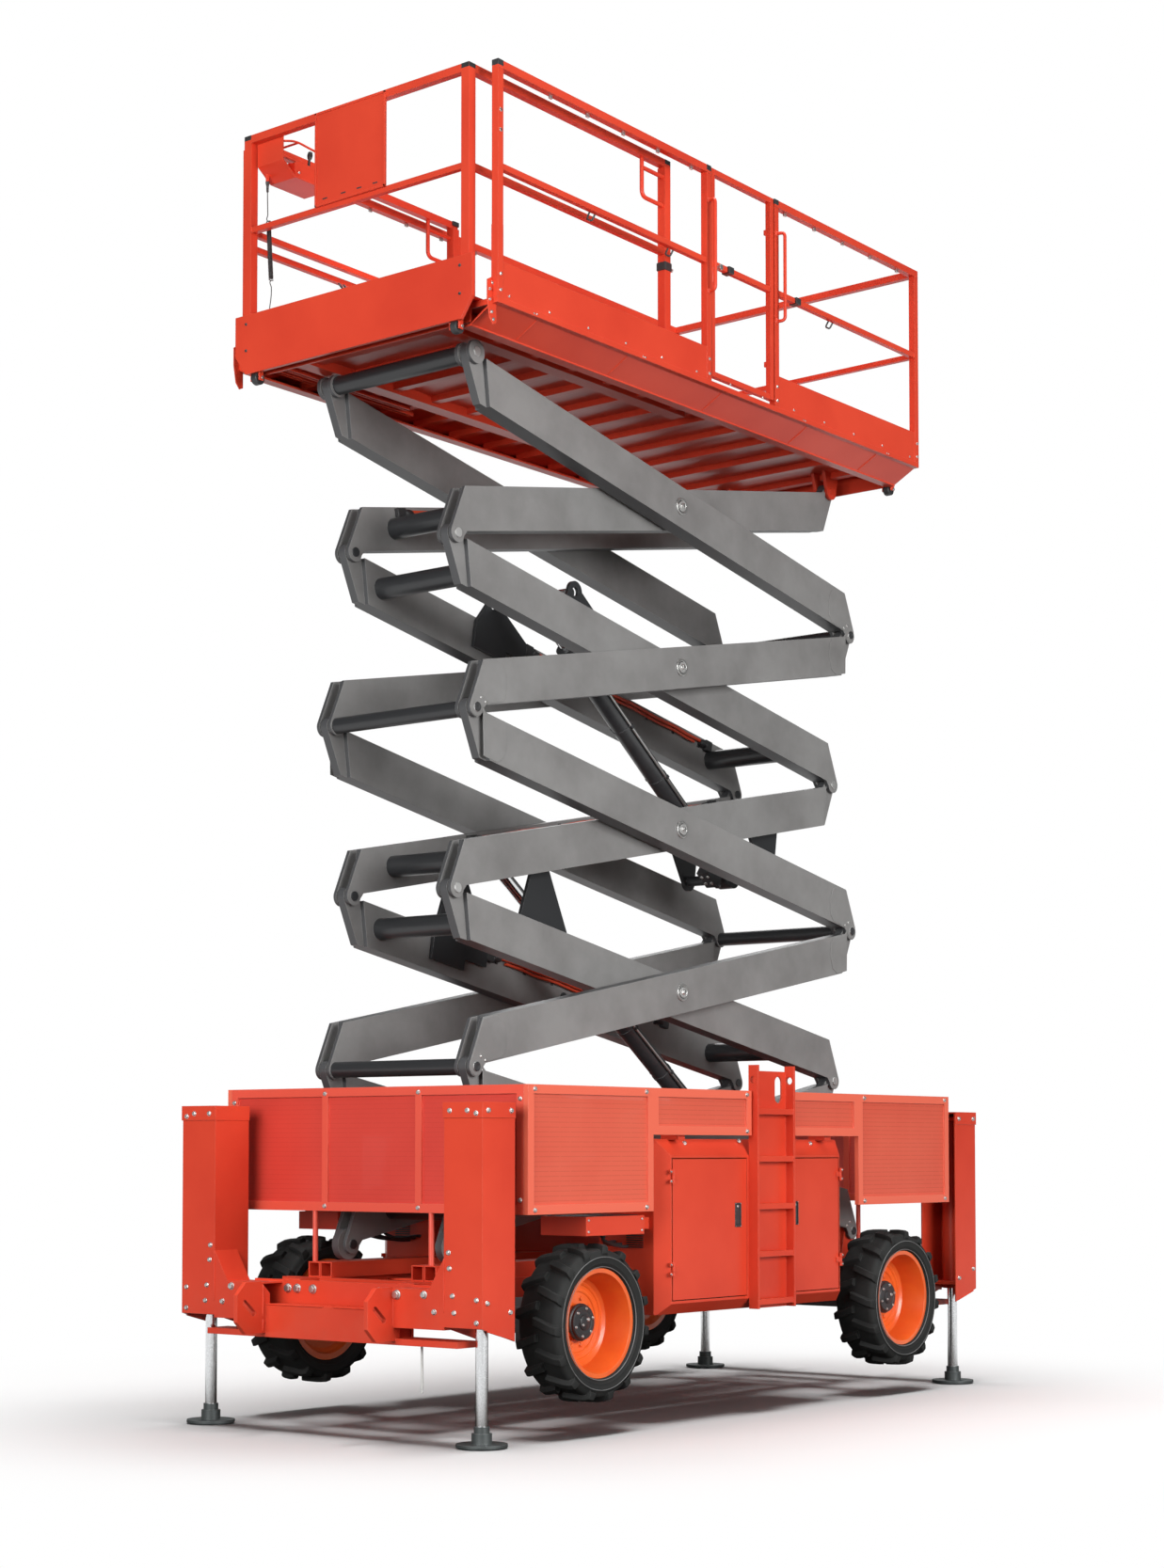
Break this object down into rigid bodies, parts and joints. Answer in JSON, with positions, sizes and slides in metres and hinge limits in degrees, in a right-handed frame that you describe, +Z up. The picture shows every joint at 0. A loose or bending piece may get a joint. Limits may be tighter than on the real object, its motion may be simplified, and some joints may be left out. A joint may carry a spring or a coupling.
{
  "type": "scissor-type aerial work platform",
  "caption": "Self-propelled rough-terrain scissor lift with a railed work platform and sliding deck, on wheels with hydraulic outriggers set down and the stack raised part way.",
  "frame": {"origin": "on the ground under the middle of the machine", "axes": "+X forward, towards the sliding deck's end; +Y left, the gate and ladder side; +Z up"},
  "size_m": [5, 2.12, 6.7544],
  "materials": {
    "red_paint": "gloss",
    "grey_paint": "satin",
    "orange_paint": "gloss",
    "tyre": "matte",
    "chrome": "polished",
    "steel": "worn",
    "rubber": "matte",
    "dark_iron": "matte"
  },
  "bodies": {
    "chassis": {"chassis_frame": "red_paint", "base_rails": "red_paint", "front_axle": "dark_iron", "rear_axle": "dark_iron", "end_screens": "red_paint", "side_screens": "red_paint", "side_boxes": "red_paint", "ladder": "red_paint", "outrigger_frames": "red_paint", "engine_block": "dark_iron", "fluid_tank": "dark_iron", "earth_strap": "rubber"},
    "door_left_front": {"door_left_front": "red_paint"},
    "door_left_rear": {"door_left_rear": "red_paint"},
    "door_right_front": {"door_right_front": "red_paint"},
    "door_right_rear": {"door_right_rear": "red_paint"},
    "leg_1": {"leg_rod_1": "chrome", "foot_1": "steel"},
    "leg_2": {"leg_rod_2": "chrome", "foot_2": "steel"},
    "leg_3": {"leg_rod_3": "chrome", "foot_3": "steel"},
    "leg_4": {"leg_rod_4": "chrome", "foot_4": "steel"},
    "knuckle_left": {"knuckle_left": "dark_iron"},
    "knuckle_right": {"knuckle_right": "dark_iron"},
    "wheel_1": {"tyre_1": "tyre", "rim_1": "orange_paint"},
    "wheel_2": {"tyre_2": "tyre", "rim_2": "orange_paint"},
    "wheel_3": {"tyre_3": "tyre", "rim_3": "orange_paint"},
    "wheel_4": {"tyre_4": "tyre", "rim_4": "orange_paint"},
    "outer_arm_1": {"outer_arm_1": "grey_paint"},
    "inner_arm_1": {"inner_arm_1": "grey_paint"},
    "outer_arm_2": {"outer_arm_2": "grey_paint"},
    "inner_arm_2": {"inner_arm_2": "grey_paint"},
    "outer_arm_3": {"outer_arm_3": "grey_paint"},
    "inner_arm_3": {"inner_arm_3": "grey_paint"},
    "outer_arm_4": {"outer_arm_4": "grey_paint"},
    "inner_arm_4": {"inner_arm_4": "grey_paint"},
    "outer_arm_5": {"outer_arm_5": "grey_paint"},
    "inner_arm_5": {"inner_arm_5": "grey_paint"},
    "lower_barrel": {"lower_barrel": "grey_paint"},
    "lower_ram": {"lower_ram": "chrome"},
    "upper_barrel": {"upper_barrel": "grey_paint"},
    "upper_ram": {"upper_ram": "chrome"},
    "platform": {"deck": "red_paint", "rail_left_front": "red_paint", "rail_left_rear": "red_paint", "rail_right": "red_paint", "rail_rear": "red_paint"},
    "gate": {"gate": "red_paint"},
    "extension": {"sliding_deck": "red_paint", "sliding_rails": "red_paint", "control_box": "red_paint", "control_lead": "rubber"}
  },
  "joints": [
    {"name": "lift", "type": "hinge", "parent": "chassis", "child": "outer_arm_1", "pos_m": [-1.7, 0, 0.925], "axis": [0, -1, 0], "range_deg": [-10.6, 41]},
    {"name": "outer_joint_2", "type": "hinge", "parent": "outer_arm_1", "child": "outer_arm_2", "pos_m": [1.79501, 0, 1.82887], "axis": [0, 1, 0], "range_deg": [-21.2, 82]},
    {"name": "outer_joint_3", "type": "hinge", "parent": "outer_arm_2", "child": "outer_arm_3", "pos_m": [-1.7, 0, 2.73274], "axis": [0, -1, 0], "range_deg": [-21.2, 82]},
    {"name": "outer_joint_4", "type": "hinge", "parent": "outer_arm_3", "child": "outer_arm_4", "pos_m": [1.79501, 0, 3.63661], "axis": [0, 1, 0], "range_deg": [-21.2, 82]},
    {"name": "outer_joint_5", "type": "hinge", "parent": "outer_arm_4", "child": "outer_arm_5", "pos_m": [-1.7, 0, 4.54049], "axis": [0, -1, 0], "range_deg": [-21.2, 82]},
    {"name": "middle_pin_1", "type": "hinge", "parent": "outer_arm_1", "child": "inner_arm_1", "pos_m": [0.04751, 0, 1.37694], "axis": [0, 1, 0], "range_deg": [-21.2, 82]},
    {"name": "middle_pin_2", "type": "hinge", "parent": "outer_arm_2", "child": "inner_arm_2", "pos_m": [0.04751, 0, 2.28081], "axis": [0, -1, 0], "range_deg": [-21.2, 82]},
    {"name": "middle_pin_3", "type": "hinge", "parent": "outer_arm_3", "child": "inner_arm_3", "pos_m": [0.04751, 0, 3.18468], "axis": [0, 1, 0], "range_deg": [-21.2, 82]},
    {"name": "middle_pin_4", "type": "hinge", "parent": "outer_arm_4", "child": "inner_arm_4", "pos_m": [0.04751, 0, 4.08855], "axis": [0, -1, 0], "range_deg": [-21.2, 82]},
    {"name": "middle_pin_5", "type": "hinge", "parent": "outer_arm_5", "child": "inner_arm_5", "pos_m": [0.04751, 0, 4.99242], "axis": [0, 1, 0], "range_deg": [-21.2, 82]},
    {"name": "platform_pin", "type": "hinge", "parent": "inner_arm_5", "child": "platform", "pos_m": [-1.7, 0, 5.44436], "axis": [0, -1, 0], "range_deg": [-10.6, 41]},
    {"name": "lower_barrel_pin", "type": "hinge", "parent": "inner_arm_1", "child": "lower_barrel", "pos_m": [-1.19954, 0, 1.34771], "axis": [0, -1, 0], "range_deg": [-19.89, 76.89]},
    {"name": "lower_stroke", "type": "slide", "parent": "lower_barrel", "child": "lower_ram", "axis": [0.8118, 0, 0.5839], "range_m": [-0.223, 0.8597]},
    {"name": "upper_barrel_pin", "type": "hinge", "parent": "inner_arm_3", "child": "upper_barrel", "pos_m": [-1.15047, 0, 3.04341], "axis": [0, -1, 0], "range_deg": [-19.14, 74.02]},
    {"name": "upper_stroke", "type": "slide", "parent": "upper_barrel", "child": "upper_ram", "axis": [0.7992, 0, 0.6011], "range_m": [-0.2526, 0.9742]},
    {"name": "steer_left", "type": "hinge", "parent": "chassis", "child": "knuckle_left", "pos_m": [1.437, 0.66, 0.554], "axis": [0, 0, 1], "range_deg": [-32, 32]},
    {"name": "steer_right", "type": "hinge", "parent": "chassis", "child": "knuckle_right", "pos_m": [1.437, -0.66, 0.554], "axis": [0, 0, 1], "range_deg": [-32, 32]},
    {"name": "wheel_1_turn", "type": "hinge", "parent": "knuckle_left", "child": "wheel_1", "pos_m": [1.437, 0.928, 0.554], "axis": [0, 1, 0], "continuous": true},
    {"name": "wheel_2_turn", "type": "hinge", "parent": "knuckle_right", "child": "wheel_2", "pos_m": [1.437, -0.928, 0.554], "axis": [0, 1, 0], "continuous": true},
    {"name": "wheel_3_turn", "type": "hinge", "parent": "chassis", "child": "wheel_3", "pos_m": [-1.437, 0.928, 0.554], "axis": [0, 1, 0], "continuous": true},
    {"name": "wheel_4_turn", "type": "hinge", "parent": "chassis", "child": "wheel_4", "pos_m": [-1.437, -0.928, 0.554], "axis": [0, 1, 0], "continuous": true},
    {"name": "leg_1_stroke", "type": "slide", "parent": "chassis", "child": "leg_1", "axis": [0, 0, 1], "range_m": [-0.15, 0.4]},
    {"name": "leg_2_stroke", "type": "slide", "parent": "chassis", "child": "leg_2", "axis": [0, 0, 1], "range_m": [-0.15, 0.4]},
    {"name": "leg_3_stroke", "type": "slide", "parent": "chassis", "child": "leg_3", "axis": [0, 0, 1], "range_m": [-0.15, 0.4]},
    {"name": "leg_4_stroke", "type": "slide", "parent": "chassis", "child": "leg_4", "axis": [0, 0, 1], "range_m": [-0.15, 0.4]},
    {"name": "door_left_front_hinge", "type": "hinge", "parent": "chassis", "child": "door_left_front", "pos_m": [0.784, 1.009, 1], "axis": [0, 0, -1], "range_deg": [0, 100]},
    {"name": "door_left_rear_hinge", "type": "hinge", "parent": "chassis", "child": "door_left_rear", "pos_m": [-0.814, 1.009, 1], "axis": [0, 0, 1], "range_deg": [0, 100]},
    {"name": "door_right_front_hinge", "type": "hinge", "parent": "chassis", "child": "door_right_front", "pos_m": [0.784, -1.009, 1], "axis": [0, 0, 1], "range_deg": [0, 100]},
    {"name": "door_right_rear_hinge", "type": "hinge", "parent": "chassis", "child": "door_right_rear", "pos_m": [-0.814, -1.009, 1], "axis": [0, 0, -1], "range_deg": [0, 100]},
    {"name": "gate_hinge", "type": "hinge", "parent": "platform", "child": "gate", "pos_m": [-0.322, 0.866, 6.07436], "axis": [0, 0, -1], "range_deg": [0, 90]},
    {"name": "extension_slide", "type": "slide", "parent": "platform", "child": "extension", "axis": [1, 0, 0], "range_m": [0, 1.2]}
  ],
  "couplings": [
    {"joint": "outer_joint_2", "follows": "lift", "ratio": 2},
    {"joint": "outer_joint_3", "follows": "lift", "ratio": 2},
    {"joint": "outer_joint_4", "follows": "lift", "ratio": 2},
    {"joint": "outer_joint_5", "follows": "lift", "ratio": 2},
    {"joint": "middle_pin_1", "follows": "lift", "ratio": 2},
    {"joint": "middle_pin_2", "follows": "lift", "ratio": 2},
    {"joint": "middle_pin_3", "follows": "lift", "ratio": 2},
    {"joint": "middle_pin_4", "follows": "lift", "ratio": 2},
    {"joint": "middle_pin_5", "follows": "lift", "ratio": 2},
    {"joint": "platform_pin", "follows": "lift", "ratio": 1},
    {"joint": "lower_barrel_pin", "follows": "lift", "ratio": 1.875},
    {"joint": "lower_stroke", "follows": "lift", "m_per_rad": 1.2},
    {"joint": "upper_barrel_pin", "follows": "lift", "ratio": 1.805},
    {"joint": "upper_stroke", "follows": "lift", "m_per_rad": 1.36},
    {"joint": "steer_right", "follows": "steer_left", "ratio": 1}
  ]
}
